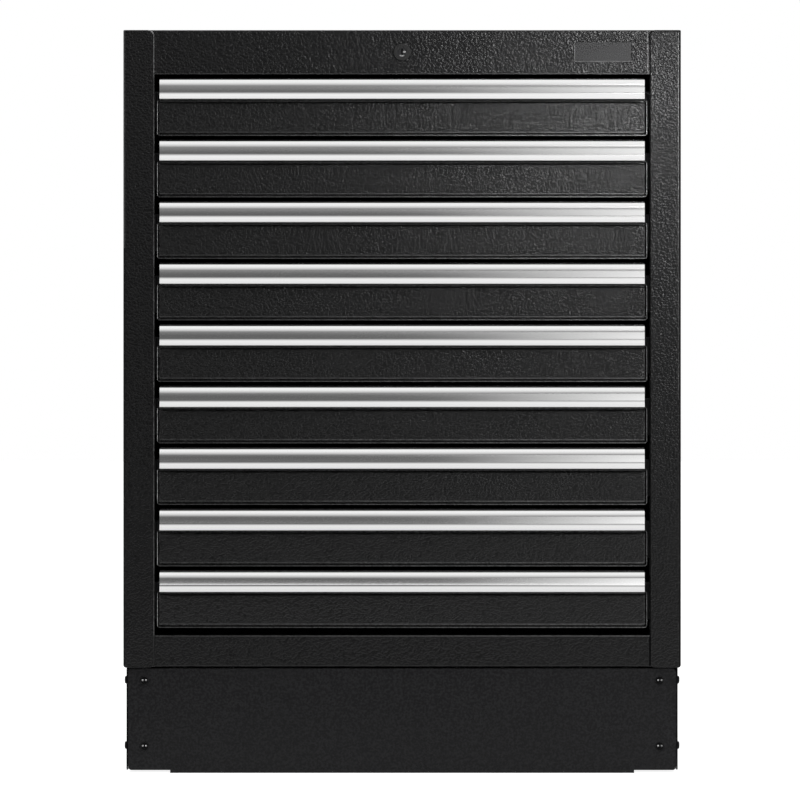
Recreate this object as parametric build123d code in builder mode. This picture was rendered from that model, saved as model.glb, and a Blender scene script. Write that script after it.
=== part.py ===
from build123d import *
import os
from math import sqrt

# Nine-drawer steel tool cabinet on a plinth. Millimetres, +Z up, front towards -Y.
# The origin is on the floor, under the middle of the cabinet's overall width and depth.

# Casing
sheet = 1.2                     # steel of the casing
casing_bend = 2.0               # outer radius of the top and bottom panels' folds
corner_bend = 3.5               # outer radius of the side panels' folds
flange_width = 37.75            # front flange of a side panel
flange_corner = 6.5             # rounding of that flange's inner corners
flange_edge = 1.1               # rounding of that flange's free edge
joint_flange = 18.0             # folds that join one casing panel to the next
top_fascia_height = 54.0
bottom_fascia_height = 39.5
fascia_return = 14.0            # fold behind the free edge of a fascia
upright_depth = 40.0
upright_gap = 2.0               # from a fascia return to the front uprights

# Drawer fronts
drawer_count = 9
front_width = 597.5             # over the rim of the front pan
rim_height = 44.5
rim_wall = 1.2
rim_corner = 3.5
rim_edge = 0.45                 # rounding of the rim's free edge
rim_setback = 1.8               # rim edge behind the casing's front plane
plate_setback = 6.0             # pan floor behind the casing's front plane
side_gap = 3.5
drawer_gap = 4.5
top_gap = 4.5
bottom_gap = 9.0
skin_sheet = 0.9
skin_setback = 0.8              # skin face behind the casing's front plane
skin_bend = 2.6
skin_groove = 2.2               # between the rim and the skin, above and below
skin_inset = 2.0                # each end, from the rim's outside
notch_height = 16.0             # gap in the skin's side folds

# Handle profile
handle_inset = 3.5              # each end, from the rim's outside
handle_wall = 1.6
handle_seam = 0.5               # between the handle's back leg and the pan, below and above
handle_leg = 24.0
fold_bend = 1.4                 # outer radius of the pan's top fold, which grips the leg
fold_seam = 0.3                 # between that fold's edge and the roll
roll_drop = 1.0                 # top of the roll below the top of the leg
roll_start = 11.1               # flat top, from the leg to the roll
roll_tilt = 50.0                # the roll leaves the flat top at this angle
roll_radius = 11.0
roll_angle = 97.0               # and ends a little past upright
handle_height = 23.5            # top of the roll above the lip's front edge
crease_height = 6.9             # crease above the lip's front edge
lip_reach = 15.4                # lip edge in front of the back leg

# Drawer boxes
drawer_sheet = 1.0
box_tail = 3.0                  # box behind the ends of its slides
box_floor = 4.0                 # underside of the box above the bottom of the rim
box_bend = 2.0
box_drop = 9.5                  # top of the box below the top of the front
hem_height = 7.0
hem_relief = 6.0                # hems stop this far from the back corners

# Slides
slide_thickness = 12.7
rail_length = 400.0
rail_height = 45.0
rail_wall = 1.2
rail_gap = 0.3                  # running gap between nested flanges
web_gap = 1.0                   # between the webs of two members
rail_setback = 12.0             # behind the floor of the front pan

# Lock
lock_flange_diameter = 21.0
lock_flange_thickness = 2.5
lock_flange_edge = 0.8
barrel_diameter = 16.0
barrel_length = 24.0
plug_diameter = 11.0
plug_fit = 0.05                 # radial
plug_setback = 0.5
key_width = 1.8
key_height = 8.0
key_depth = 8.0
nut_across = 20.0
nut_thickness = 4.0
hole_clearance = 0.15           # radial, barrel in the fascia and in its nut
collar_diameter = 14.0
collar_thickness = 2.0
collar_gap = 0.3
rod_diameter = 6.0
lock_travel = 10.0
crank_thickness = 3.0
crank_width = 9.0
pin_diameter = 4.0
pin_clearance = 0.5
hanger_thickness = 2.0
hanger_width = 22.0
hanger_margin = 6.0             # steel below the rod's hole
hanger_room = 6.0               # between the hanger and the crank
bar_width = 30.0
bar_thickness = 2.0
bar_margin = 9.0                # beyond the lowest hook and the pin's slot
hook_arm_width = 12.0
hook_arm_thickness = 2.0
hook_lip = 10.0
hook_room = 8.3                 # between the bar and the catches
catch_reach = 12.0
catch_width = 16.0
catch_thickness = 1.5
catch_lip = 12.0
catch_drop = 23.0               # top of a catch below the top of its box
catch_clearance = 2.0           # hook below the catch when unlocked
guide_gap = 0.3
guide_wall = 2.0
guide_height = 14.0
guide_every = 3                 # drawers from one guide to the next

# Badge plate
badge_width = 69.8
badge_height = 24.3
badge_thickness = 1.3
badge_corner = 1.5
badge_edge = 0.5
badge_inset = 23.0              # from the right side of the drawer opening

# Plinth
plinth_height = 128.5
plinth_sheet = 1.5
plinth_inset = 4.0              # behind the casing at the front and back
plinth_side_inset = 3.7
plinth_end_gap = 2.3            # front panel's end inside the side panel's face
plinth_flange = 20.0
plinth_raise = 3.5              # plain ends above the floor
plinth_seam = 1.2               # front and back panels below the casing, which stands on the side panels
foot_strip_end = 51.0           # bottom flange starts this far from the front panel's end
plinth_corner = 4.0
bracket_leg = 42.0
bracket_wall = 2.0
bracket_raise = 8.0             # above the floor
bracket_drop = 8.5              # below the plinth's top
screw_inset = 20.5              # from the bracket's corner
screw_raise = 32.5              # lower screws above the floor
screw_drop = 16.0               # upper screws below the plinth's top
screw_head_diameter = 9.6
screw_head_height = 3.2
screw_head_edge = 2.0
screw_shank = 4.8
screw_length = 10.0
screw_fit = 0.1                 # radial, in the bracket
screw_hole_clearance = 0.4      # radial, in the panel
recess_width = 1.2
recess_length = 5.0
recess_depth = 1.4

# Heights
leg_top = rim_height + handle_seam + handle_leg
front_height = leg_top + handle_seam + drawer_sheet
drawer_pitch = front_height + drawer_gap
body_bottom = plinth_height
stack_bottom = body_bottom + bottom_fascia_height + bottom_gap
opening_top = stack_bottom + drawer_count * drawer_pitch - drawer_gap + top_gap
body_top = opening_top + top_fascia_height
drawer_bases = [stack_bottom + (drawer_count - 1 - n) * drawer_pitch for n in range(drawer_count)]
box_top = front_height - box_drop
rail_centre = (box_floor + box_top) / 2
lock_height = (opening_top + body_top) / 2

# Widths
half_opening = front_width / 2 + side_gap
half_body = half_opening + flange_width
half_inside = half_body - sheet
half_panel = half_body - corner_bend
handle_width = front_width - 2 * handle_inset
skin_width = front_width - 2 * skin_inset
box_half = half_opening - slide_thickness

# Depths
rear_space = catch_reach + hook_room + bar_thickness + guide_gap + 2 * sheet
box_depth = drawer_sheet + rail_setback + rail_length + box_tail
body_depth = plate_setback + box_depth + rear_space
handle_reach = handle_wall + lip_reach - plate_setback
casing_front = (handle_reach - body_depth) / 2
casing_back = casing_front + body_depth
fascia_face = casing_front + sheet
plate_face = casing_front + plate_setback
box_back = plate_face + box_depth
rail_front = plate_face + drawer_sheet + rail_setback
bar_back = casing_back - 2 * sheet - guide_gap
bar_face = bar_back - bar_thickness
pin_offset = lock_travel / 2
crank_radius = pin_offset * sqrt(2)


def front_plane(y):
    """A plane at depth y that faces the front, so that sketches on it use x and z."""
    return Plane(origin=(0, y, 0), x_dir=(1, 0, 0), z_dir=(0, -1, 0))


def block(x, y, z, mode=Mode.ADD):
    """A box between two x, two y and two z values."""
    with Locations((sum(x) / 2, sum(y) / 2, sum(z) / 2)):
        Box(abs(x[1] - x[0]), abs(y[1] - y[0]), abs(z[1] - z[0]), mode=mode)


def save(part, name):
    part.label = name
    export_step(part, f"parts/{name}.step")


def save_each_drawer(part, name):
    """One copy of a drawer's piece at the height of each drawer, numbered from the top."""
    for number, base in enumerate(drawer_bases, start=1):
        save(part.moved(Location((0, 0, base))), f"drawer_{number}_{name}")


def folded_strip(points, side, thickness, bend):
    """The section of a folded sheet, in y and z, whose outer face follows the points."""
    with BuildSketch(Plane.YZ) as strip:
        with BuildLine():
            FilletPolyline(*points, radius=bend)
            offset(amount=thickness, side=side)
        make_face()
    return strip.sketch


def rounded_block(x, y, z, folds, radius):
    """A block whose folded edges, as picked by folds, are rounded."""
    with BuildPart() as rounded:
        block(x, y, z)
        fillet(folds(rounded), radius)
    return rounded.part


def box_folds(rounded):
    """The folds of a drawer box: along the sides and back of its underside, and its back corners."""
    underside = rounded.faces().sort_by(Axis.Z)[0]
    back_face = rounded.faces().sort_by(Axis.Y)[-1]
    return underside.edges().sort_by(Axis.Y)[1:] + back_face.edges().filter_by(Axis.Z)


def skin_folds(rounded):
    """The folds around the face of a drawer's front skin."""
    return rounded.faces().sort_by(Axis.Y)[0].edges()


def side_panel(side):
    """A side sheet with front, rear and bottom flanges. side is -1 for the left, 1 for the right."""

    def folds(rounded):
        outer_face = rounded.faces().sort_by(Axis.X)[0 if side < 0 else -1]
        return outer_face.edges().sort_by(Axis.Z)[:-1]

    outside = rounded_block(
        (side * half_body, side * half_opening),
        (casing_front, casing_back - sheet),
        (body_bottom, body_top),
        folds,
        corner_bend,
    )
    inside = rounded_block(
        (side * half_inside, side * (half_opening - sheet)),
        (casing_front + sheet, casing_back - 2 * sheet),
        (body_bottom + sheet, body_top + sheet),
        folds,
        corner_bend - sheet,
    )
    with BuildPart() as panel:
        add(outside)
        add(inside, mode=Mode.SUBTRACT)
        block(
            (side * (half_body - joint_flange), side * (half_opening - sheet)),
            (casing_front + sheet, casing_back),
            (body_bottom - sheet, body_top + sheet),
            Mode.SUBTRACT,
        )
        flange_edges = panel.edges().filter_by(Axis.Y).sort_by(Axis.X)
        fillet(flange_edges[-2:] if side < 0 else flange_edges[:2], flange_corner)
        front_edges = panel.faces().sort_by(Axis.Y)[0].edges()
        fillet(front_edges.sort_by(lambda edge: abs(edge.center().X))[0], flange_edge)
    return panel.part


def channel_section(heights, web, tip, half_height):
    """C sections of a slide member on both sides, with the web at x = web and open towards x = tip."""
    inner_web = web + rail_wall if tip > web else web - rail_wall
    with BuildSketch(front_plane(rail_front)) as section:
        with Locations(*[(side * (web + tip) / 2, z) for side in (-1, 1) for z in heights]):
            Rectangle(abs(web - tip), 2 * half_height)
        with Locations(*[(side * (inner_web + tip) / 2, z) for side in (-1, 1) for z in heights]):
            Rectangle(abs(inner_web - tip), 2 * (half_height - rail_wall), mode=Mode.SUBTRACT)
    return section.sketch


os.makedirs("parts", exist_ok=True)

# Side panels
save(side_panel(-1), "left_side_panel")
save(side_panel(1), "right_side_panel")

# Top panel: fascia return, fascia, top, rear flange; with side flanges and the hanger of the lock rod
hanger_face = bar_face - crank_thickness - hanger_room - hanger_thickness
top_outline = [
    (fascia_face + fascia_return, opening_top),
    (fascia_face, opening_top),
    (fascia_face, body_top),
    (casing_back - sheet, body_top),
    (casing_back - sheet, body_top - joint_flange),
]
top_section = folded_strip(top_outline, Side.RIGHT, sheet, casing_bend)
with BuildPart() as top_panel:
    extrude(top_section, amount=half_panel, both=True)
    for side in (-1, 1):
        block(
            (side * (half_body - joint_flange), side * half_body),
            (casing_back - 2 * sheet, casing_back),
            (body_top - 2 * joint_flange, body_top + sheet),
            Mode.SUBTRACT,
        )
        block(
            (side * half_panel, side * (half_panel - sheet)),
            (fascia_face + casing_bend, casing_back - 2 * sheet),
            (body_top - joint_flange, body_top - sheet / 2),
        )
    block(
        (-hanger_width / 2, hanger_width / 2),
        (hanger_face, hanger_face + hanger_thickness),
        (lock_height - rod_diameter / 2 - hanger_margin, body_top - sheet / 2),
    )
    with BuildSketch(front_plane(hanger_face)):
        with Locations((0, lock_height)):
            Circle(rod_diameter / 2 + plug_fit)
    extrude(amount=-hanger_thickness, mode=Mode.SUBTRACT)
    with BuildSketch(front_plane(fascia_face)):
        with Locations((0, lock_height)):
            Circle(barrel_diameter / 2 + hole_clearance)
    extrude(amount=-sheet, mode=Mode.SUBTRACT)
save(top_panel.part, "top_panel")

# Bottom panel: fascia return, fascia, floor, rear flange; it lies on the side panels' bottom flanges
floor_level = body_bottom + sheet
bottom_fascia_top = body_bottom + bottom_fascia_height
bottom_outline = [
    (fascia_face + fascia_return, bottom_fascia_top),
    (fascia_face, bottom_fascia_top),
    (fascia_face, floor_level),
    (casing_back - sheet, floor_level),
    (casing_back - sheet, floor_level + joint_flange),
]
bottom_section = folded_strip(bottom_outline, Side.LEFT, sheet, casing_bend)
with BuildPart() as bottom_panel:
    extrude(bottom_section, amount=half_panel, both=True)
    for side in (-1, 1):
        block(
            (side * (half_body - joint_flange), side * half_body),
            (casing_back - 2 * sheet, casing_back),
            (body_bottom, floor_level + 2 * joint_flange),
            Mode.SUBTRACT,
        )
        block(
            (side * half_panel, side * (half_panel - sheet)),
            (fascia_face + casing_bend, casing_back - 2 * sheet),
            (floor_level + sheet / 2, floor_level + joint_flange),
        )
save(bottom_panel.part, "bottom_panel")

# Slide uprights: four channels between the floor and the top, open towards the side panels
upright_outer = half_panel - sheet
front_upright = fascia_face + fascia_return + upright_gap
rear_upright = rail_front + rail_length - upright_depth
upright_z = (floor_level + sheet, body_top - sheet)
with BuildPart() as slide_uprights:
    for side in (-1, 1):
        for y in (front_upright, rear_upright):
            block((side * half_opening, side * upright_outer), (y, y + upright_depth), upright_z)
            block(
                (side * (half_opening + sheet), side * upright_outer),
                (y + sheet, y + upright_depth - sheet),
                upright_z,
                Mode.SUBTRACT,
            )
save(slide_uprights.part, "slide_uprights")

# Slides: cabinet members on the uprights, middle members, drawer members on the drawer boxes
outer_half = rail_height / 2
middle_half = outer_half - rail_wall - rail_gap
inner_half = middle_half - rail_wall - rail_gap
middle_web = half_opening - rail_wall - web_gap
inner_tip = middle_web - rail_wall - web_gap
outer_tip = box_half + rail_wall + web_gap
middle_tip = box_half + rail_wall + web_gap / 2
with BuildPart() as cabinet_rails:
    rail_heights = [base + rail_centre for base in drawer_bases]
    extrude(channel_section(rail_heights, half_opening, outer_tip, outer_half), amount=-rail_length)
save(cabinet_rails.part, "cabinet_rails")

with BuildPart() as middle_rails:
    extrude(channel_section([rail_centre], middle_web, middle_tip, middle_half), amount=-rail_length)
save_each_drawer(middle_rails.part, "middle_rails")

with BuildPart() as drawer_rails:
    extrude(channel_section([rail_centre], box_half, inner_tip, inner_half), amount=-rail_length)
save_each_drawer(drawer_rails.part, "drawer_rails")

# Drawer box: folded tray with hemmed walls, front pan with rim and top fold, lock catch at the back
catch_top = box_top - catch_drop
leg_face = plate_face - handle_wall
roll_top = leg_top - roll_drop
fold_outline = [
    (plate_face + drawer_sheet, rim_height - rim_corner),
    (plate_face + drawer_sheet, front_height),
    (leg_face - drawer_sheet, front_height),
    (leg_face - drawer_sheet, roll_top + fold_seam),
]
fold_section = folded_strip(fold_outline, Side.LEFT, drawer_sheet, fold_bend)
box_outside = rounded_block(
    (-box_half, box_half), (plate_face, box_back), (box_floor, box_top), box_folds, box_bend
)
box_inside = rounded_block(
    (drawer_sheet - box_half, box_half - drawer_sheet),
    (plate_face + drawer_sheet, box_back - drawer_sheet),
    (box_floor + drawer_sheet, box_top + drawer_sheet),
    box_folds,
    box_bend - drawer_sheet,
)
with BuildPart() as drawer_box:
    add(box_outside)
    add(box_inside, mode=Mode.SUBTRACT)
    for side in (-1, 1):
        block(
            (side * (box_half - drawer_sheet / 2), side * (box_half - 2 * drawer_sheet)),
            (plate_face, box_back - hem_relief),
            (box_top - hem_height, box_top),
        )
    block(
        (hem_relief - box_half, box_half - hem_relief),
        (box_back - 2 * drawer_sheet, box_back - drawer_sheet / 2),
        (box_top - hem_height, box_top),
    )
    with BuildSketch(front_plane(plate_face)):
        with Locations((0, rim_height / 2)):
            RectangleRounded(front_width, rim_height, rim_corner)
    extrude(amount=-drawer_sheet)
    extrude(fold_section, amount=handle_width / 2, both=True)
    with BuildSketch(front_plane(casing_front + rim_setback)):
        with Locations((0, rim_height / 2)):
            RectangleRounded(front_width, rim_height, rim_corner)
            RectangleRounded(
                front_width - 2 * rim_wall,
                rim_height - 2 * rim_wall,
                rim_corner - rim_wall,
                mode=Mode.SUBTRACT,
            )
    extrude(amount=rim_setback - plate_setback)
    fillet(drawer_box.faces().sort_by(Axis.Y)[0].edges(), rim_edge)
    catch_x = (-catch_width / 2, catch_width / 2)
    catch_end = box_back + catch_reach
    block(catch_x, (box_back - drawer_sheet / 2, catch_end), (catch_top - catch_thickness, catch_top))
    block(catch_x, (catch_end - catch_thickness, catch_end), (catch_top - catch_lip, catch_top))
save_each_drawer(drawer_box.part, "box")

# Drawer front: a skin whose folded edges stand on the floor of the front pan
skin_bottom = rim_wall + skin_groove
skin_top = rim_height - rim_wall - skin_groove
skin_face = casing_front + skin_setback
skin_outside = rounded_block(
    (-skin_width / 2, skin_width / 2),
    (skin_face, plate_face),
    (skin_bottom, skin_top),
    skin_folds,
    skin_bend,
)
skin_inside = rounded_block(
    (skin_sheet - skin_width / 2, skin_width / 2 - skin_sheet),
    (skin_face + skin_sheet, plate_face + skin_sheet),
    (skin_bottom + skin_sheet, skin_top - skin_sheet),
    skin_folds,
    skin_bend - skin_sheet,
)
with BuildPart() as drawer_front:
    add(skin_outside)
    add(skin_inside, mode=Mode.SUBTRACT)
    notch_middle = (skin_bottom + skin_top) / 2
    block(
        (-skin_width, skin_width),
        (skin_face + skin_bend, plate_face + skin_sheet),
        (notch_middle - notch_height / 2, notch_middle + notch_height / 2),
        Mode.SUBTRACT,
    )
save_each_drawer(drawer_front.part, "front")

# Handle: back leg under the pan's top fold, roll, waist and flared lip
lip_bottom = roll_top - handle_height
with BuildPart() as handle:
    with BuildSketch(Plane.YZ):
        with BuildLine():
            flat_top = Line((leg_face, roll_top), (leg_face - roll_start, roll_top))
            roll_heading = (flat_top % 1).rotate(Axis.Z, roll_tilt)
            roll = JernArc(flat_top @ 1, roll_heading, roll_radius, roll_angle - roll_tilt)
            waist = PolarLine(
                roll @ 1,
                lip_bottom + crease_height - (roll @ 1).Y,
                direction=roll % 1,
                length_mode=LengthMode.VERTICAL,
            )
            Line(waist @ 1, (leg_face - lip_reach, lip_bottom))
            offset(amount=handle_wall, side=Side.LEFT)
        make_face()
    extrude(amount=handle_width / 2, both=True)
    handle_x = (-handle_width / 2, handle_width / 2)
    block(handle_x, (leg_face, plate_face), (rim_height + handle_seam, leg_top))
save_each_drawer(handle.part, "handle")

# Lock barrel, held in the fascia by its flange and a nut
flange_face = fascia_face - lock_flange_thickness
with BuildPart() as lock_barrel:
    with BuildSketch(front_plane(flange_face)):
        with Locations((0, lock_height)):
            Circle(lock_flange_diameter / 2)
    extrude(amount=-lock_flange_thickness)
    fillet(lock_barrel.faces().sort_by(Axis.Y)[0].edges(), lock_flange_edge)
    with BuildSketch(front_plane(fascia_face)):
        with Locations((0, lock_height)):
            Circle(barrel_diameter / 2)
    extrude(amount=-barrel_length)
    with BuildSketch(front_plane(flange_face)):
        with Locations((0, lock_height)):
            Circle(plug_diameter / 2 + plug_fit)
    extrude(amount=-lock_flange_thickness - barrel_length, mode=Mode.SUBTRACT)
    with BuildSketch(front_plane(fascia_face + sheet)):
        with Locations((0, lock_height)):
            RegularPolygon(nut_across / 2, 6, major_radius=False)
            Circle(barrel_diameter / 2 + hole_clearance, mode=Mode.SUBTRACT)
    extrude(amount=-nut_thickness)
save(lock_barrel.part, "lock_barrel")

# Badge plate, bare, on the lock fascia
with BuildPart() as badge_plate:
    with BuildSketch(front_plane(fascia_face - badge_thickness)):
        with Locations((half_opening - badge_inset - badge_width / 2, lock_height)):
            RectangleRounded(badge_width, badge_height, badge_corner)
    extrude(amount=-badge_thickness)
    fillet(badge_plate.faces().sort_by(Axis.Y)[0].edges(), badge_edge)
save(badge_plate.part, "badge_plate")

# Lock spindle: key plug, collar, drive rod, crank and pin
plug_face = flange_face + plug_setback
collar_face = fascia_face + barrel_length + collar_gap
crank_face = bar_face - collar_gap - crank_thickness
with BuildPart() as lock_spindle:
    with BuildSketch(front_plane(plug_face)):
        with Locations((0, lock_height)):
            Circle(plug_diameter / 2)
    extrude(amount=plug_face - collar_face)
    with BuildSketch(front_plane(collar_face)):
        with Locations((0, lock_height)):
            Circle(collar_diameter / 2)
    extrude(amount=-collar_thickness)
    with BuildSketch(front_plane(collar_face)):
        with Locations((0, lock_height)):
            Circle(rod_diameter / 2)
    extrude(amount=collar_face - crank_face)
    with BuildSketch(front_plane(crank_face)):
        with Locations((-pin_offset / 2, lock_height - pin_offset / 2)):
            SlotCenterToCenter(crank_radius, crank_width, rotation=45)
    extrude(amount=-crank_thickness)
    with BuildSketch(front_plane(crank_face)):
        with Locations((-pin_offset, lock_height - pin_offset)):
            Circle(pin_diameter / 2)
    extrude(amount=crank_face - bar_back)
    with BuildSketch(front_plane(plug_face)):
        with Locations((0, lock_height)):
            Rectangle(key_width, key_height)
    extrude(amount=-key_depth, mode=Mode.SUBTRACT)
save(lock_spindle.part, "lock_spindle")

# Lock bar: strip with a slot for the crank pin and one hook under each drawer's catch
hook_tops = [base + catch_top - catch_lip - catch_clearance for base in drawer_bases]
hook_edge = box_back + (catch_reach - catch_thickness - hook_arm_thickness) / 2
arm_top = -hook_lip
arm_bottom = arm_top - hook_arm_thickness
slot_height = pin_diameter + 2 * pin_clearance
bar_top = lock_height - pin_offset + slot_height / 2 + bar_margin
bar_bottom = hook_tops[-1] + arm_bottom - bar_margin
with BuildPart() as lock_bar:
    block((-bar_width / 2, bar_width / 2), (bar_face, bar_back), (bar_bottom, bar_top))
    with BuildSketch(front_plane(bar_face)):
        with Locations((-(crank_radius + pin_offset) / 2, lock_height - pin_offset)):
            SlotOverall(crank_radius - pin_offset + slot_height, slot_height)
    extrude(amount=-bar_thickness, mode=Mode.SUBTRACT)
    hook_x = (-hook_arm_width / 2, hook_arm_width / 2)
    for top in hook_tops:
        block(hook_x, (hook_edge, bar_face), (top + arm_bottom, top + arm_top))
        block(hook_x, (hook_edge, hook_edge + hook_arm_thickness), (top + arm_bottom, top))
save(lock_bar.part, "lock_bar")

# Back panel, with guides that keep the lock bar upright
guide_inner = bar_width / 2 + guide_gap
guide_outer = guide_inner + guide_wall
bridge_back = bar_face - guide_gap
bridge_face = bridge_back - guide_wall
back_inside = casing_back - sheet
with BuildPart() as back_panel:
    block((-half_panel, half_panel), (back_inside, casing_back), (floor_level, body_top - sheet))
    for number in range(guide_every - 1, drawer_count, guide_every):
        middle = hook_tops[number - 1] - drawer_pitch / 2
        guide_z = (middle - guide_height / 2, middle + guide_height / 2)
        block((-guide_outer, guide_outer), (bridge_face, bridge_back), guide_z)
        block((-bar_width / 2, bar_width / 2), (bar_back + guide_gap, casing_back - sheet / 2), guide_z)
        for side in (-1, 1):
            block((side * guide_inner, side * guide_outer), (bridge_face, casing_back - sheet / 2), guide_z)
save(back_panel.part, "back_panel")

# Plinth: front and back panels of one pressing, side panels, corner brackets and screws
plinth_front = casing_front + plinth_inset
plinth_back = casing_back - plinth_inset
plinth_half = half_body - plinth_side_inset
plinth_middle = (plinth_front + plinth_back) / 2
panel_top = plinth_height - plinth_seam
end_half = plinth_half - plinth_end_gap
strip_half = end_half - foot_strip_end
side_inside = plinth_half - plinth_sheet
side_y = (plinth_front + plinth_sheet, plinth_back - plinth_sheet)
bracket_y = plinth_front + plinth_sheet
screw_heights = (screw_raise, plinth_height - screw_drop)
screw_x = side_inside - screw_inset
screw_y = bracket_y + screw_inset
far_screw_y = 2 * plinth_middle - screw_y
panel_hole = screw_shank / 2 + screw_hole_clearance

with BuildPart() as plinth_front_panel:
    with BuildSketch(front_plane(plinth_front)):
        with Locations((0, (plinth_raise + panel_top) / 2)):
            RectangleRounded(2 * end_half, panel_top - plinth_raise, plinth_corner)
        with Locations((0, panel_top / 2)):
            Rectangle(2 * strip_half, panel_top)
        with Locations(*[(x, z) for x in (-screw_x, screw_x) for z in screw_heights]):
            Circle(panel_hole, mode=Mode.SUBTRACT)
    extrude(amount=-plinth_sheet)
    for flange_z in ((0, plinth_sheet), (panel_top - plinth_sheet, panel_top)):
        block((-strip_half, strip_half), (plinth_front, plinth_front + plinth_flange), flange_z)
with BuildPart() as plinth_front_and_back:
    add(plinth_front_panel.part)
    mirror(plinth_front_panel.part, about=Plane.XZ.offset(-plinth_middle))
save(plinth_front_and_back.part, "plinth_front_and_back")

with BuildPart() as plinth_sides:
    with BuildSketch(Plane.YZ.offset(plinth_half)):
        with Locations((plinth_middle, (plinth_raise + plinth_height) / 2)):
            RectangleRounded(side_y[1] - side_y[0], plinth_height - plinth_raise, plinth_corner)
        with Locations(*[(y, z) for y in (screw_y, far_screw_y) for z in screw_heights]):
            Circle(panel_hole, mode=Mode.SUBTRACT)
    extrude(amount=-plinth_sheet)
    block(
        (plinth_half, plinth_half - plinth_flange),
        (side_y[0] + plinth_flange, side_y[1] - plinth_flange),
        (plinth_height - plinth_sheet, plinth_height),
    )
    mirror(about=Plane.YZ)
save(plinth_sides.part, "plinth_sides")

with BuildPart() as plinth_brackets:
    bracket_z = (bracket_raise, plinth_height - bracket_drop)
    block((side_inside, side_inside - bracket_leg), (bracket_y, bracket_y + bracket_leg), bracket_z)
    block(
        (side_inside - bracket_wall, side_inside - bracket_leg),
        (bracket_y + bracket_wall, bracket_y + bracket_leg),
        bracket_z,
        Mode.SUBTRACT,
    )
    with BuildSketch(front_plane(bracket_y)):
        with Locations(*[(screw_x, z) for z in screw_heights]):
            Circle(screw_shank / 2 + screw_fit)
    extrude(amount=-bracket_wall, mode=Mode.SUBTRACT)
    with BuildSketch(Plane.YZ.offset(side_inside)):
        with Locations(*[(screw_y, z) for z in screw_heights]):
            Circle(screw_shank / 2 + screw_fit)
    extrude(amount=-bracket_wall, mode=Mode.SUBTRACT)
    mirror(about=Plane.YZ)
    mirror(about=Plane.XZ.offset(-plinth_middle))
save(plinth_brackets.part, "plinth_brackets")

with BuildPart() as screw:
    Cylinder(screw_head_diameter / 2, screw_head_height, align=(Align.CENTER, Align.CENTER, Align.MIN))
    fillet(screw.faces().sort_by(Axis.Z)[-1].edges(), screw_head_edge)
    Cylinder(screw_shank / 2, screw_length, align=(Align.CENTER, Align.CENTER, Align.MAX))
    with BuildSketch(Plane.XY.offset(screw_head_height)):
        Rectangle(recess_length, recess_width)
        Rectangle(recess_width, recess_length)
    extrude(amount=-recess_depth, mode=Mode.SUBTRACT)

with BuildPart() as plinth_screws:
    for z in screw_heights:
        for x in (-screw_x, screw_x):
            add(Plane((x, plinth_front, z), x_dir=(1, 0, 0), z_dir=(0, -1, 0)) * screw.part)
            add(Plane((x, plinth_back, z), x_dir=(1, 0, 0), z_dir=(0, 1, 0)) * screw.part)
        for y in (screw_y, far_screw_y):
            add(Plane((-plinth_half, y, z), x_dir=(0, 1, 0), z_dir=(-1, 0, 0)) * screw.part)
            add(Plane((plinth_half, y, z), x_dir=(0, 1, 0), z_dir=(1, 0, 0)) * screw.part)
save(plinth_screws.part, "plinth_screws")
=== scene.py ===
from math import cos, radians, sin
from typing import NamedTuple

import bpy
from mathutils import Matrix, Vector


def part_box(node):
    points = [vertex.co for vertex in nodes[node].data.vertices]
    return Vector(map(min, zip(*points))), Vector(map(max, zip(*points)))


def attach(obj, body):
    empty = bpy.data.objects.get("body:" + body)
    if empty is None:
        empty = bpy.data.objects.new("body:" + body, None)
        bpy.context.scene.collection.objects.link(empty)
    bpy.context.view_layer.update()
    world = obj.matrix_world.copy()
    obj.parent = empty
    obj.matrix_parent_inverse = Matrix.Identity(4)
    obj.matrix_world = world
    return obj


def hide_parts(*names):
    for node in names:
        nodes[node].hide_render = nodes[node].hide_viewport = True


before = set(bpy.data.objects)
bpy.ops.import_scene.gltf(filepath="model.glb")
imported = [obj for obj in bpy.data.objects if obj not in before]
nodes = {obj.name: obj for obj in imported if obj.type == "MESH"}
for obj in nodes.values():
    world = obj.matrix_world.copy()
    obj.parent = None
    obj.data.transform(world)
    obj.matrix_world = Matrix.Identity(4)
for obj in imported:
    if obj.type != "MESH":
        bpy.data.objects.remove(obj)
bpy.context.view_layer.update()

scene = bpy.context.scene
scene.view_settings.view_transform = "Standard"
mm = 0.001
cabinet_width = 680.0           # in millimetres
drawers = range(1, 10)


def grey(level):
    return (level, level, level)


def feed(socket, value):
    """Links a value to an input of a node, or sets it there."""
    if isinstance(value, Socket):
        value.tree.links.new(value.output, socket)
    else:
        socket.default_value = value


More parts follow.
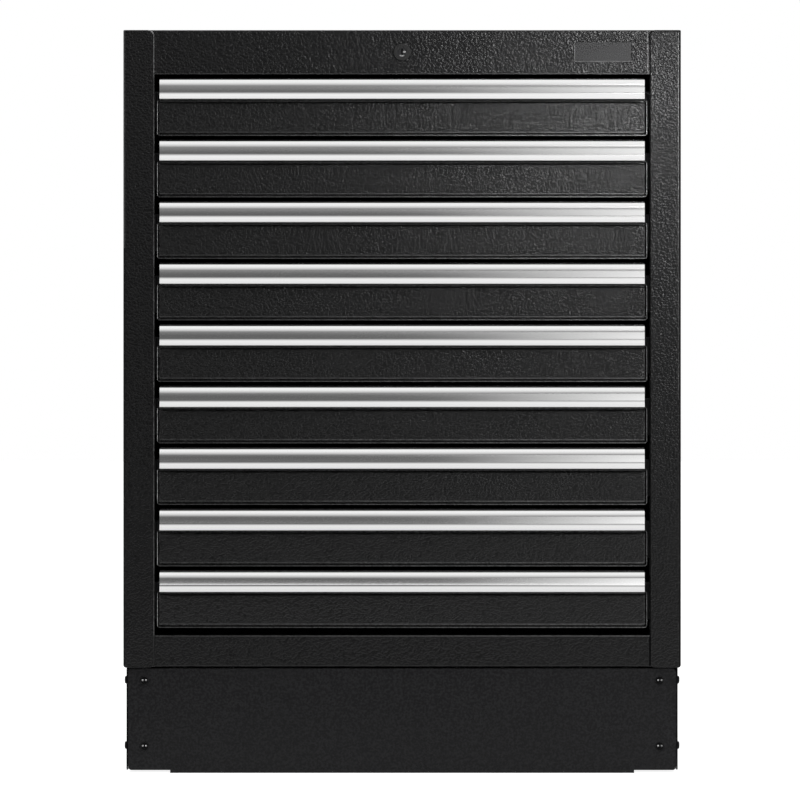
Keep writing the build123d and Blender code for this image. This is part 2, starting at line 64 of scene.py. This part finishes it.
class Socket:
    """An output of a shader node. Arithmetic with these adds Math nodes to their tree."""

    def __init__(self, tree, output):
        self.tree = tree
        self.output = output

    def node(self, kind, settings=None, sockets=None, output=0):
        """Adds a node with its settings and its inputs, and gives one of its outputs."""
        made = self.tree.nodes.new(kind)
        for name, value in (settings or {}).items():
            if name == "stops":
                ramp = made.color_ramp
                while len(ramp.elements) < len(value):
                    ramp.elements.new(1.0)
                for element, (position, level) in zip(ramp.elements, value):
                    element.position = position
                    element.color = (*grey(level), 1)
            else:
                setattr(made, name, value)
        for name, value in (sockets or {}).items():
            feed(made.inputs[name], value)
        return Socket(self.tree, made.outputs[output])

    def math(self, operation, other=0.0):
        """A Math node on this value and another."""
        return self.node("ShaderNodeMath", {"operation": operation}, {0: self, 1: other})

    def __add__(self, other):
        return self.math("ADD", other)

    def __sub__(self, other):
        return self.math("SUBTRACT", other)

    def __rsub__(self, other):
        return self.node("ShaderNodeMath", {"operation": "SUBTRACT"}, {0: other, 1: self})

    def __mul__(self, other):
        return self.math("MULTIPLY", other)

    def __truediv__(self, other):
        return self.math("DIVIDE", other)

    __radd__ = __add__
    __rmul__ = __mul__

    def part(self, axis):
        """One coordinate of this point, in metres."""
        return self.node("ShaderNodeSeparateXYZ", None, {"Vector": self}, axis)

    def ramp(self, *stops):
        """This value through a ramp of (position, level) stops."""
        return self.node("ShaderNodeValToRGB", {"stops": stops}, {"Fac": self})

    def noise(self, scale, detail=2.0, roughness=0.5):
        """Noise over this point."""
        sockets = {"Vector": self, "Scale": scale, "Detail": detail, "Roughness": roughness}
        return self.node("ShaderNodeTexNoise", None, sockets)

    def stretched_noise(self, x, y, z, detail=3.0, roughness=0.5):
        """Noise over this point with a scale of its own along each axis."""
        point = self.node("ShaderNodeMapping", None, {"Vector": self, "Scale": (x, y, z)})
        return point.noise(1.0, detail, roughness)

    def blend(self, first, second):
        """From the first colour to the second as this value goes from 0 to 1."""
        first, second = (
            colour if isinstance(colour, Socket) else (*colour, 1) for colour in (first, second)
        )
        # A Mix node has its colours at inputs 6 and 7 and at output 2
        sockets = {"Factor": self, 6: first, 7: second}
        return self.node("ShaderNodeMix", {"data_type": "RGBA"}, sockets, 2)

    def between(self, low, high):
        """1 where this value lies between the two, 0 elsewhere."""
        return self.math("GREATER_THAN", low) * self.math("LESS_THAN", high)

    def spot(self, x, z, half_width, half_height):
        """1 in an oval patch of this point's x and z, in millimetres, fading to 0 at its rim."""
        across = (self.part("X") / mm - x) / half_width
        up = (self.part("Z") / mm - z) / half_height
        return (across * across + up * up).ramp((0.4, 1.0), (1.0, 0.0))

    def bumped(self, distance, strength):
        """A normal for a surface whose height is this value."""
        sockets = {"Height": self, "Distance": distance, "Strength": strength}
        return self.node("ShaderNodeBump", None, sockets)


class Finish:
    """A material with one main shader. point is a place on the piece, in metres."""

    def __init__(self, name):
        self.material = bpy.data.materials.new(name)
        self.material.use_nodes = True
        tree = self.material.node_tree
        self.shader = tree.nodes["Principled BSDF"]
        place = tree.nodes.new("ShaderNodeTexCoord")
        self.point = Socket(tree, place.outputs["Object"])

    def set(self, **sockets):
        """Sets or links sockets of the shader, named with _ for a space."""
        for name, value in sockets.items():
            feed(self.shader.inputs[name.replace("_", " ")], value)

    def paint(self, piece):
        """Puts this finish on a piece or a CAD node."""
        piece.data.materials.clear()
        piece.data.materials.append(self.material)


class Edge(NamedTuple):
    """A strip along an edge where light or shade is painted: ranges of |x|, y and z in millimetres,
    and marks at left and right.

    left and right say how strong the painted light or shade is at the left and at the right side of
    the cabinet.
    """

    x: tuple
    y: tuple
    z: tuple
    left: float = 0.0
    right: float = 0.0


def marked(point, edges, first=0.0, pitch=10000.0):
    """How strongly painted light or shade marks a surface along some edges.

    z is counted from first and starts again after each pitch, so that drawers or screws share
    one set of edges.
    """
    x, y, z = (point.part(axis) / mm for axis in "XYZ")
    across = x.math("ABSOLUTE")
    to_right = x / cabinet_width + 0.5
    up = (z - first).math("MODULO", pitch)
    mark = 0.0
    for edge in edges:
        level = edge.left + to_right * (edge.right - edge.left)
        strip = across.between(*edge.x) * y.between(*edge.y) * up.between(*edge.z)
        mark = strip * level + mark
    return mark


def painted_edge_highlights(point, edges, **repeat):
    """Painted highlights along some edges, in dots."""
    dots = point.noise(scale=420.0, detail=1.0).ramp((0.35, 0.35), (0.65, 1.0))
    return marked(point, edges, **repeat) * dots


def powder_coat(name, grain, depth, sheen, tone, edges, painted_shade_seams, **repeat):
    """Black powder coat with a pebbled skin, painted highlights along its edges and painted shade
    in its seams.

    grain is the number of pebbles per metre, depth their height in metres, and tone how light the
    black is.
    """
    coat = Finish(name)
    pebble = coat.point.noise(grain, detail=1.0).ramp((0.38, 0.0), (0.66, 1.0))
    speck = coat.point.noise(grain * 3.1, detail=2.0)
    cloud = coat.point.noise(scale=9.0, detail=3.0)
    height = pebble + speck * 0.1
    edge_highlight = painted_edge_highlights(coat.point, edges, **repeat)
    painted_shade = marked(coat.point, painted_shade_seams, **repeat)
    hollows = [tone * level for level in (0.003, 0.003, 0.0032)]
    crests = [tone * level for level in (0.0055, 0.0055, 0.0058)]
    # Painted highlights lighten the edges towards grey; painted shade turns the seams to black
    # metal that reflects almost nothing
    coat.set(
        Base_Color=edge_highlight.blend(pebble.blend(hollows, crests), grey(0.6)),
        Metallic=painted_shade * 0.9,
        Roughness=0.2 + cloud * 0.06 + speck * 0.06 + edge_highlight * 0.2 + painted_shade * 0.7,
        Specular_IOR_Level=sheen,
        Normal=height.bumped(distance=depth, strength=1.0),
    )
    return coat


def drawn_aluminium():
    """Satin anodised aluminium with fine die lines along the profile."""
    metal = Finish("drawn_aluminium")
    lines = metal.point.stretched_noise(1.2, 900.0, 900.0, roughness=0.6)
    haze = metal.point.stretched_noise(6.0, 60.0, 60.0)
    metal.set(
        Base_Color=lines.blend(grey(0.83), (0.90, 0.90, 0.895)),
        Metallic=1.0,
        Roughness=0.1 + haze * 0.05 + lines * 0.04,
        Normal=lines.bumped(distance=0.000008, strength=0.3),
    )
    return metal


def black_strip():
    """Black zinc on rolled steel strip, for the slides and the lock bar."""
    strip = Finish("black_strip")
    rolled = strip.point.stretched_noise(400.0, 4.0, 400.0)
    bloom = strip.point.noise(scale=40.0, detail=4.0)
    strip.set(
        Base_Color=bloom.blend((0.028, 0.028, 0.03), (0.05, 0.05, 0.052)),
        Metallic=0.8,
        Roughness=0.3 + bloom * 0.16 + rolled * 0.08,
        Normal=rolled.bumped(distance=0.00003, strength=0.3),
    )
    return strip


def lock_casting():
    """Satin black coating over a die casting."""
    casting = Finish("lock_casting")
    grain = casting.point.noise(scale=2600.0, detail=2.0)
    casting.set(
        Base_Color=grain.blend(grey(0.006), grey(0.012)),
        Roughness=0.4 + grain * 0.16,
        Specular_IOR_Level=0.25,
        Normal=grain.bumped(distance=0.00004, strength=0.3),
    )
    return casting


def plug_steel():
    """Dark plated steel of the key plug and its rod, with painted glints beside and below the key
    slot.
    """
    steel = Finish("plug_steel")
    turned = steel.point.noise(scale=1500.0, detail=3.0)
    # Painted highlights: two bright patches that stand for glints at the key slot
    glint_beside_slot = steel.point.spot(x=2.7, z=879.3, half_width=2.2, half_height=1.3)
    glint_below_slot = steel.point.spot(x=-0.4, z=874.6, half_width=3.4, half_height=1.3)
    dark = turned.blend((0.02, 0.02, 0.021), (0.04, 0.04, 0.041))
    steel.set(
        Base_Color=(glint_beside_slot + glint_below_slot).blend(dark, grey(0.33)),
        Metallic=0.9,
        Roughness=0.3 + turned * 0.12,
        Normal=turned.bumped(distance=0.00002, strength=0.3),
    )
    return steel


def black_zinc():
    """Black-passivated screws, with painted glints at the ends of the cross recess."""
    black = Finish("black_zinc")
    scuff = black.point.noise(scale=1200.0, detail=4.0).ramp((0.5, 0.0), (0.8, 1.0))
    # Painted highlights: pale grey dots at the ends of the recess's arms stand for glints
    painted_highlight = painted_edge_highlights(
        black.point,
        [
            Edge(x=x, y=(-218.0, -213.0), z=(32.3, 34.3), left=1.0, right=1.0)
            for x in ((311.4, 313.2), (315.4, 317.2))
        ],
        pitch=80.0,
    )
    plating = scuff.blend((0.004, 0.004, 0.0042), (0.012, 0.012, 0.0125))
    black.set(
        Base_Color=painted_highlight.blend(plating, grey(0.85)),
        Metallic=0.9 - painted_highlight * 0.9,
        Roughness=0.38 - scuff * 0.12,
        Normal=scuff.bumped(distance=0.00003, strength=0.4),
    )
    return black


def badge_metal():
    """Dark grey satin plate, brushed along its length, with painted highlights along its left and
    lower edges.
    """
    plate = Finish("badge_metal")
    brushed = plate.point.stretched_noise(60.0, 1500.0, 1500.0)
    fascia = (-225.0, -200.0)
    # Painted highlights: lighter strips along the left and lower edges stand for the bevel catching
    # light
    painted_highlight = painted_edge_highlights(
        plate.point,
        [
            Edge(x=(209.0, 210.7), y=fascia, z=(868.1, 895.0), right=1.0),
            Edge(x=(209.0, 280.0), y=fascia, z=(866.0, 868.1), right=0.7),
        ],
    )
    dark_grey = brushed.blend((0.008, 0.008, 0.0085), (0.014, 0.014, 0.0145))
    plate.set(
        Base_Color=painted_highlight.blend(dark_grey, grey(0.1)),
        Roughness=0.4 + brushed * 0.14,
        Specular_IOR_Level=0.15,
        Normal=brushed.bumped(distance=0.00003, strength=0.4),
    )
    return plate


def select_none():
    bpy.ops.object.select_all(action="DESELECT")


def run(y, z):
    """Draws a section on from its end by y and z, in millimetres."""
    bpy.ops.mesh.extrude_region_move(TRANSFORM_OT_translate={"value": (0, y * mm, z * mm)})


def turn(y, z, degrees, steps):
    """Draws a section on along an arc about a centre at y and z, in metres."""
    bpy.ops.mesh.spin(steps=steps, angle=radians(degrees), center=(0, y, z), axis=(-1, 0, 0))


def drawer_handle():
    """The aluminium pull of the top drawer.

    Its section is drawn from the leg round to the lip and back, then extruded. Lengths are in
    millimetres and angles in degrees.
    """
    low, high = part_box("drawer_1_handle")
    wall = 1.6                  # thickness of the profile
    step = 1.0                  # from the leg's end down to the flat top
    flat = 10.816               # flat top, from the leg's face
    edge, edge_turn = 0.6, 51.52            # radius and angle of the top's front edge
    roll, roll_turn = 11.0, 40.48           # of the roll
    bow, bow_turn = 55.0, 7.84              # of the bowed waist
    crease, crease_turn = 6.0, 31.99        # of the crease above the lip
    roll_in, roll_down = 2.674, 7.071       # the roll's centre, from the leg's face and the top
    lip = 5.2                   # flat of the lip
    tip = 0.5                   # rounding of the lip's edges
    inner_roll_turn = 37.59
    inner_flat = 10.318
    inner_leg = 21.4
    leg = 24.0
    down = radians(edge_turn + roll_turn)
    under = radians(edge_turn + roll_turn + bow_turn)
    out = radians(edge_turn + roll_turn + bow_turn - crease_turn)
    lip_end = wall - 2 * tip

    leg_face = high.y - wall * mm
    top = high.z - step * mm
    roll_y = leg_face - roll_in * mm
    roll_z = top - roll_down * mm
    waist_y = roll_y - sin(down) * (roll - bow) * mm
    waist_z = roll_z + cos(down) * (roll - bow) * mm
    crease_y = waist_y - sin(under) * (bow + crease) * mm
    crease_z = waist_z + cos(under) * (bow + crease) * mm
    tip_y = crease_y + (sin(out) * (crease + tip) - cos(out) * lip) * mm
    tip_z = crease_z - (cos(out) * (crease + tip) + sin(out) * lip) * mm
    back_y = tip_y + sin(out) * lip_end * mm
    back_z = tip_z - cos(out) * lip_end * mm

    select_none()
    bpy.ops.mesh.primitive_plane_add(size=0.01, location=(low.x, leg_face, high.z))
    bpy.ops.object.transform_apply(location=True)
    piece = bpy.context.object
    piece.name = "drawer_pull_1"
    bpy.ops.object.mode_set(mode="EDIT")
    bpy.ops.mesh.merge(type="CENTER")
    # Outside: step down from the leg, flat top, roll, waist, crease and lip
    run(0, -step)
    run(-flat, 0)
    turn(leg_face - flat * mm, top - edge * mm, edge_turn, steps=6)
    turn(roll_y, roll_z, roll_turn, steps=24)
    turn(waist_y, waist_z, bow_turn, steps=10)
    turn(crease_y, crease_z, -crease_turn, steps=14)
    run(-cos(out) * lip, -sin(out) * lip)
    turn(tip_y, tip_z, 90.0, steps=6)
    run(sin(out) * lip_end, -cos(out) * lip_end)
    turn(back_y, back_z, 90.0, steps=6)
    # Inside: the same way back to the leg
    run(cos(out) * lip, sin(out) * lip)
    turn(crease_y, crease_z, crease_turn, steps=14)
    turn(waist_y, waist_z, -bow_turn, steps=10)
    turn(roll_y, roll_z, -inner_roll_turn, steps=22)
    run(inner_flat, 0)
    run(0, -inner_leg)
    run(wall, 0)
    run(0, leg)
    bpy.ops.mesh.select_all(action="SELECT")
    bpy.ops.mesh.remove_doubles(threshold=0.000005)
    bpy.ops.mesh.edge_face_add()
    length = high.x - low.x
    bpy.ops.mesh.extrude_region_move(TRANSFORM_OT_translate={"value": (length, 0, 0)})
    bpy.ops.mesh.select_all(action="SELECT")
    bpy.ops.mesh.remove_doubles(threshold=0.00001)
    bpy.ops.mesh.normals_make_consistent(inside=False)
    bpy.ops.object.mode_set(mode="OBJECT")
    bpy.ops.object.shade_smooth_by_angle(angle=radians(30.0))
    return piece


def ray(tree, kind):
    """1 for rays of a kind, such as Camera or Glossy, and 0 for others."""
    path = tree.nodes.new("ShaderNodeLightPath")
    return Socket(tree, path.outputs[f"Is {kind} Ray"])


def white_room():
    """World that looks white and lights the object evenly."""
    lighting = 0.45
    world = bpy.data.worlds.new("white_room")
    scene.world = world
    world.use_nodes = True
    tree = world.node_tree
    seen = ray(tree, "Camera")
    for kind in ("Glossy", "Transmission"):
        seen = seen.math("MAXIMUM", ray(tree, kind))
    background = tree.nodes["Background"]
    feed(background.inputs["Color"], (1, 1, 1, 1))
    feed(background.inputs["Strength"], lighting + seen * (1.0 - lighting))


def pale_floor():
    """Wide floor that looks nearly white and takes the cabinet's shadow, dark inside the plinth."""
    select_none()
    bpy.ops.mesh.primitive_plane_add(size=60.0, location=(0, 0, 0))
    floor = bpy.context.object
    floor.name = "floor"
    ground = Finish("pale_floor")
    tree = ground.point.tree
    x, y = (ground.point.part(axis) for axis in "XY")
    # Inside the plinth, in metres
    covered = x.between(-0.32, 0.32) * y.between(-0.15, 0.21)
    glow = ray(tree, "Camera") * 0.9 + ray(tree, "Glossy") * 0.8
    mottle = ground.point.noise(scale=3.0, detail=3.0)
    ground.set(
        Base_Color=mottle.blend(grey(0.5), grey(0.54)),
        Roughness=0.85 + mottle * 0.1,
        Emission_Color=glow * (1.0 - covered),
        Emission_Strength=1.0,
    )
    ground.paint(floor)


def front_card():
    """Grey studio floor and wall before the cabinet, which only the metal and the coat reflect."""
    width = 30.0
    near, far = -0.85, -12.0
    height = 12.0
    lift = 0.004                # above the floor
    select_none()
    bpy.ops.mesh.primitive_plane_add(size=1.0, location=(0, (near + far) / 2, lift))
    card = bpy.context.object
    card.name = "front_card"
    card.scale = (width, near - far, 1.0)
    bpy.ops.object.transform_apply(location=True, rotation=True, scale=True)
    bpy.ops.object.mode_set(mode="EDIT")
    bpy.ops.mesh.select_all(action="DESELECT")
    bpy.ops.object.mode_set(mode="OBJECT")
    for edge in card.data.edges:
        edge.select = all(card.data.vertices[v].co.y < far + 1.0 for v in edge.vertices)
    bpy.ops.object.mode_set(mode="EDIT")
    bpy.ops.mesh.select_mode(type="EDGE")
    bpy.ops.mesh.extrude_region_move(TRANSFORM_OT_translate={"value": (0, 0, height)})
    bpy.ops.object.mode_set(mode="OBJECT")
    paper = Finish("grey_card")
    x, y, z = (paper.point.part(axis) for axis in "XYZ")
    shade = (y / far).ramp((0.0, 0.2), (0.08, 0.18), (0.16, 0.125), (0.22, 0.125), (0.6, 0.22))
    # The floor is lighter at the right, from lines that fan out away from the cabinet
    fan = 0.963 - y / 6.0
    floor = shade + (x / fan).ramp((0.06, 0.0), (0.25, 0.66), (0.3, 0.95))
    wall = (z / height).ramp(
        (0.0, 0.22), (0.05, 0.26), (0.18, 0.4), (0.4, 0.66), (0.7, 0.85), (1.0, 0.95)
    )
    standing = z.math("GREATER_THAN", 0.05)
    paper.set(
        Base_Color=(0, 0, 0, 1),
        Roughness=1.0,
        Specular_IOR_Level=0.0,
        Emission_Color=floor + standing * (wall - floor),
        Emission_Strength=1.0,
    )
    paper.paint(card)
    card.visible_camera = False
    card.visible_diffuse = False
    card.visible_shadow = False


def lamp(kind, name, place, target, watts, **settings):
    """A lamp at a place, facing a target."""
    select_none()
    bpy.ops.object.light_add(type=kind, location=place)
    made = bpy.context.object
    made.name = name
    made.rotation_euler = (Vector(target) - Vector(place)).to_track_quat("-Z", "Y").to_euler()
    made.data.energy = watts
    for setting, value in settings.items():
        setattr(made.data, setting, value)
    return made


# Ranges of y for the marked edges of the casing
flange = (-219.0, -216.9)
panel_front = (-219.0, -216.5)  # of a side panel: its flange and the gap behind
panel_fold = (-219.0, -213.0)
fascia_bend = (-217.0, -213.0)
casing_coat = powder_coat(
    "casing_powder_coat", grain=380.0, depth=0.0004, sheen=0.25, tone=1.0,
    edges=(
        # Painted highlight on the free edge of the left flange, up to the round corner of its ear
        Edge(x=(301.9, 302.95), y=flange, z=(168.0, 852.0), left=0.26),
        Edge(x=(301.9, 302.95), y=flange, z=(852.0, 901.0), left=0.4),
        Edge(x=(302.3, 304.3), y=flange, z=(901.0, 903.2), left=0.5),
        Edge(x=(303.4, 306.5), y=flange, z=(903.2, 905.0), left=0.5),
        Edge(x=(305.2, 309.5), y=flange, z=(905.0, 906.5), left=0.5),
        # Painted highlights on the right end of the lock fascia, and on the outer folds of the side
        # panels
        Edge(x=(299.0, 300.2), y=(-217.2, -216.4), z=(853.0, 906.5), right=0.13),
        Edge(x=(336.2, 337.5), y=panel_front, z=(455.0, 700.0), right=0.06),
        Edge(x=(336.2, 337.5), y=panel_front, z=(700.0, 902.6), right=0.13),
        Edge(x=(337.5, 339.5), y=(-219.0, -215.0), z=(640.0, 906.5), left=0.07),
        # Painted highlights on the upper bend of the bottom panel and on the lower bend of the lock
        # fascia
        Edge(x=(0.0, 302.0), y=fascia_bend, z=(166.4, 168.5), left=0.05, right=0.18),
        Edge(x=(0.0, 302.0), y=fascia_bend, z=(851.5, 853.4), left=0.08, right=0.12),
    ),
    painted_shade_seams=(
        # Painted shade beside the right flange, round its ear and along its top
        Edge(x=(301.3, 303.2), y=panel_front, z=(120.0, 901.0), right=1.0),
        Edge(x=(302.0, 304.3), y=panel_front, z=(901.0, 903.2), right=1.0),
        Edge(x=(303.2, 306.5), y=panel_front, z=(903.2, 905.0), right=1.0),
        Edge(x=(305.0, 312.0), y=panel_front, z=(905.0, 906.5), right=1.0),
        Edge(x=(312.0, 337.6), y=(-219.0, -214.0), z=(902.6, 906.5), right=0.5),
        # Painted shade on the rounds of the outer folds
        Edge(x=(337.6, 340.1), y=panel_fold, z=(128.0, 906.5), right=0.8),
        Edge(x=(337.6, 340.1), y=panel_fold, z=(128.0, 640.0), left=0.6),
    ),
)
plinth_coat = powder_coat(
    "plinth_powder_coat", grain=380.0, depth=0.0002, sheen=0.12, tone=4.0,
    edges=(),
    painted_shade_seams=(
        # Painted shade on the front edges of the side panels
        Edge(x=(334.2, 336.6), y=(-213.6, -210.0), z=(0.0, 128.6), left=1.0, right=1.0),
    ),
)

# Ranges of y for the marked edges of the drawers
rim = (-216.5, -215.5)
end_fold = (-217.5, -214.0)
drawer_coat = powder_coat(
    "drawer_powder_coat", grain=440.0, depth=0.0004, sheen=0.33, tone=0.6,
    edges=(
        # Painted highlights on the ends and underside of the rim
        Edge(x=(298.0, 299.0), y=rim, z=(1.0, 44.0), left=1.0, right=0.3),
        Edge(x=(0.0, 298.0), y=rim, z=(-1.0, 1.4), left=0.06, right=0.24),
        # Painted highlights on the end folds of the skin either side of the notch, and on its lower
        # fold
        Edge(x=(295.2, 297.0), y=end_fold, z=(3.0, 14.2), left=0.06),
        Edge(x=(295.2, 297.0), y=end_fold, z=(30.3, 42.0), left=0.06),
        Edge(x=(0.0, 295.2), y=(-217.0, -214.0), z=(3.0, 5.2), left=0.08, right=0.32),
        # Painted light on the strip under the handle, lifting the shade that the lip casts there
        Edge(x=(0.0, 296.0), y=(-214.5, -211.0), z=(41.5, 46.5), left=0.15, right=0.35),
    ),
    painted_shade_seams=(
        # Painted shade between the skin and the ends of the rim
        Edge(x=(296.8, 298.0), y=(-217.0, -212.0), z=(3.0, 42.0), left=0.6, right=1.0),
    ),
    first=177.0, pitch=75.0,
)
aluminium = drawn_aluminium()
strip = black_strip()

for finish, names in (
    (casing_coat, ("left_side_panel", "right_side_panel", "top_panel", "bottom_panel",
                   "back_panel", "slide_uprights")),
    (plinth_coat, ("plinth_front_and_back", "plinth_sides", "plinth_brackets")),
    (strip, ("cabinet_rails", "lock_bar")),
    (lock_casting(), ("lock_barrel",)),
    (plug_steel(), ("lock_spindle",)),
    (black_zinc(), ("plinth_screws",)),
    (badge_metal(), ("badge_plate",)),
):
    for name in names:
        finish.paint(nodes[name])
for number in drawers:
    drawer_coat.paint(nodes[f"drawer_{number}_box"])
    drawer_coat.paint(nodes[f"drawer_{number}_front"])
    strip.paint(nodes[f"drawer_{number}_drawer_rails"])
    strip.paint(nodes[f"drawer_{number}_middle_rails"])

first_pull = drawer_handle()
for number in drawers:
    pull = first_pull
    if number > 1:
        pull = first_pull.copy()
        pull.data = first_pull.data.copy()
        pull.name = f"drawer_pull_{number}"
        scene.collection.objects.link(pull)
        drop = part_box(f"drawer_{number}_handle")[0].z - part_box("drawer_1_handle")[0].z
        pull.data.transform(Matrix.Translation((0, 0, drop)))
    aluminium.paint(pull)
    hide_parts(f"drawer_{number}_handle")
    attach(pull, f"drawer_{number}")

white_room()
pale_floor()
front_card()
top_light = lamp(
    "AREA", "top_light", place=(0.3, -1.0, 3.3), target=(0, -0.2, 0.5), watts=75.0,
    shape="RECTANGLE", size=6.0, size_y=4.0,
)
top_light.visible_glossy = False
lamp(
    "AREA", "side_light", place=(2.6, -1.65, 0.7), target=(0, -1.65, 0.7), watts=24.0,
    shape="RECTANGLE", size=2.7, size_y=1.4,
)
for name, target, watts, cone in (
    ("right_light", (0.4, -0.2, 0.96), 62.0, 50.0),
    ("corner_light", (0.26, -0.2, 0.82), 185.0, 16.0),
):
    lamp(
        "SPOT", name, place=(0.78, -1.6, 1.2), target=target, watts=watts,
        spot_size=radians(cone), spot_blend=1.0, shadow_soft_size=0.15,
    )

camera_place = (-0.00256, -6.2, 0.4549)
front_face = -0.218             # y of the cabinet's face, where a pixel has its size
picture_pixels = 800
pixel_size = 1.219 * mm
sensor = 36.0
bpy.ops.object.camera_add(location=camera_place, rotation=(radians(90), 0, 0))
camera = bpy.context.object
camera.data.sensor_width = sensor
camera.data.lens = sensor * (front_face - camera_place[1]) / (picture_pixels * pixel_size)
camera.data.clip_end = 100.0
scene.camera = camera
